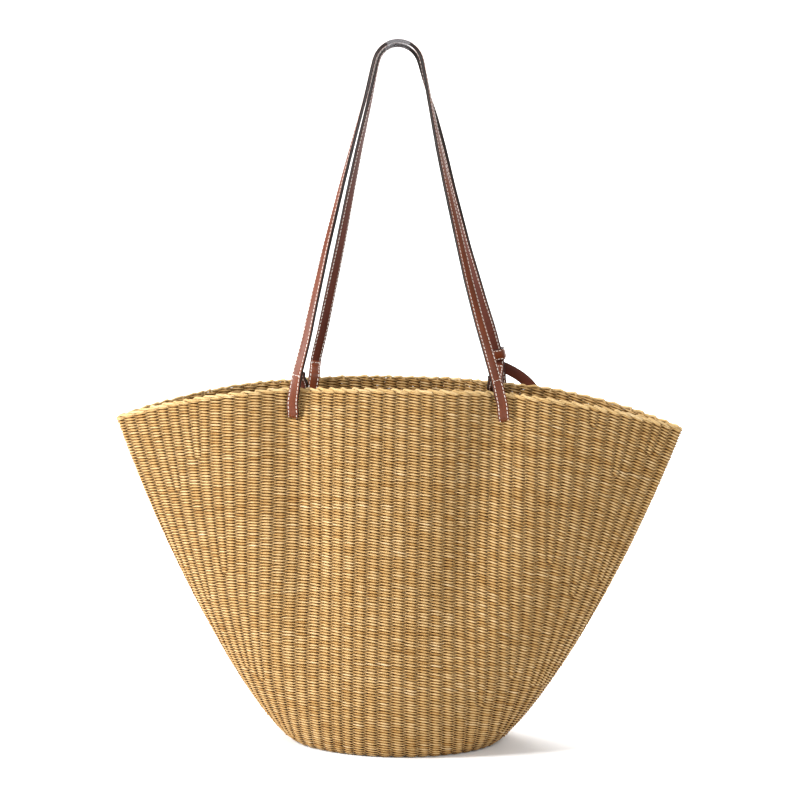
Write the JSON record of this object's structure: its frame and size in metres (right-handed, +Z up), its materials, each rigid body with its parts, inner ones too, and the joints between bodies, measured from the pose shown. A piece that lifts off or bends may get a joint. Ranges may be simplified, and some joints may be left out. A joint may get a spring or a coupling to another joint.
{
  "type": "beach bag",
  "caption": "Fan-shaped woven straw beach tote with an oval base, pinched wide rim and long leather shoulder handles.",
  "frame": {"origin": "centre of the bag's base, on the surface that it stands on", "axes": "+Z up, +X to the bag's right seen from the front along its long rim, +Y from front to back"},
  "size_m": [0.578, 0.199, 0.7056],
  "materials": {
    "grass": "satin woven straw",
    "stake": "satin straw",
    "leather": "semi-gloss",
    "lining": "smooth semi-gloss",
    "thread": "matt",
    "film": "clear gloss"
  },
  "bodies": {
    "bag": {"floor": "grass", "wall": "grass", "stakes": "stake", "rim_border": "grass", "front_left_loop_face": "leather", "front_left_loop_lining": "lining", "front_left_loop_seams": "thread", "front_right_loop_face": "leather", "front_right_loop_lining": "lining", "front_right_loop_seams": "thread", "back_left_loop_face": "leather", "back_left_loop_lining": "lining", "back_left_loop_seams": "thread", "back_right_loop_face": "leather", "back_right_loop_lining": "lining", "back_right_loop_seams": "thread", "inner_patch": "leather", "inner_patch_seams": "thread"},
    "front_handle": {"front_handle_face": "leather", "front_handle_lining": "lining", "front_handle_seams": "thread", "front_handle_sleeve": "film"},
    "back_handle": {"back_handle_face": "leather", "back_handle_lining": "lining", "back_handle_seams": "thread", "back_handle_sleeve": "film"},
    "keeper": {"keeper": "leather", "keeper_seams": "thread"},
    "tag": {"tag_strap": "lining", "tag": "leather", "tag_seams": "thread"}
  },
  "joints": [
    {"name": "front_handle_swing", "type": "hinge", "parent": "bag", "child": "front_handle", "pos_m": [0, -0.058, 0.425], "axis": [1, 0, 0], "range_deg": [0, 160]},
    {"name": "back_handle_swing", "type": "hinge", "parent": "bag", "child": "back_handle", "pos_m": [0, 0.058, 0.425], "axis": [-1, 0, 0], "range_deg": [0, 160]},
    {"name": "keeper_slide", "type": "slide", "parent": "bag", "child": "keeper", "axis": [-0.232, -0.152, 0.9608], "range_m": [0, 0.006]},
    {"name": "tag_lift", "type": "hinge", "parent": "bag", "child": "tag", "pos_m": [0.097, 0.062, 0.3835], "axis": [1, 0, 0], "range_deg": [0, 70]}
  ]
}
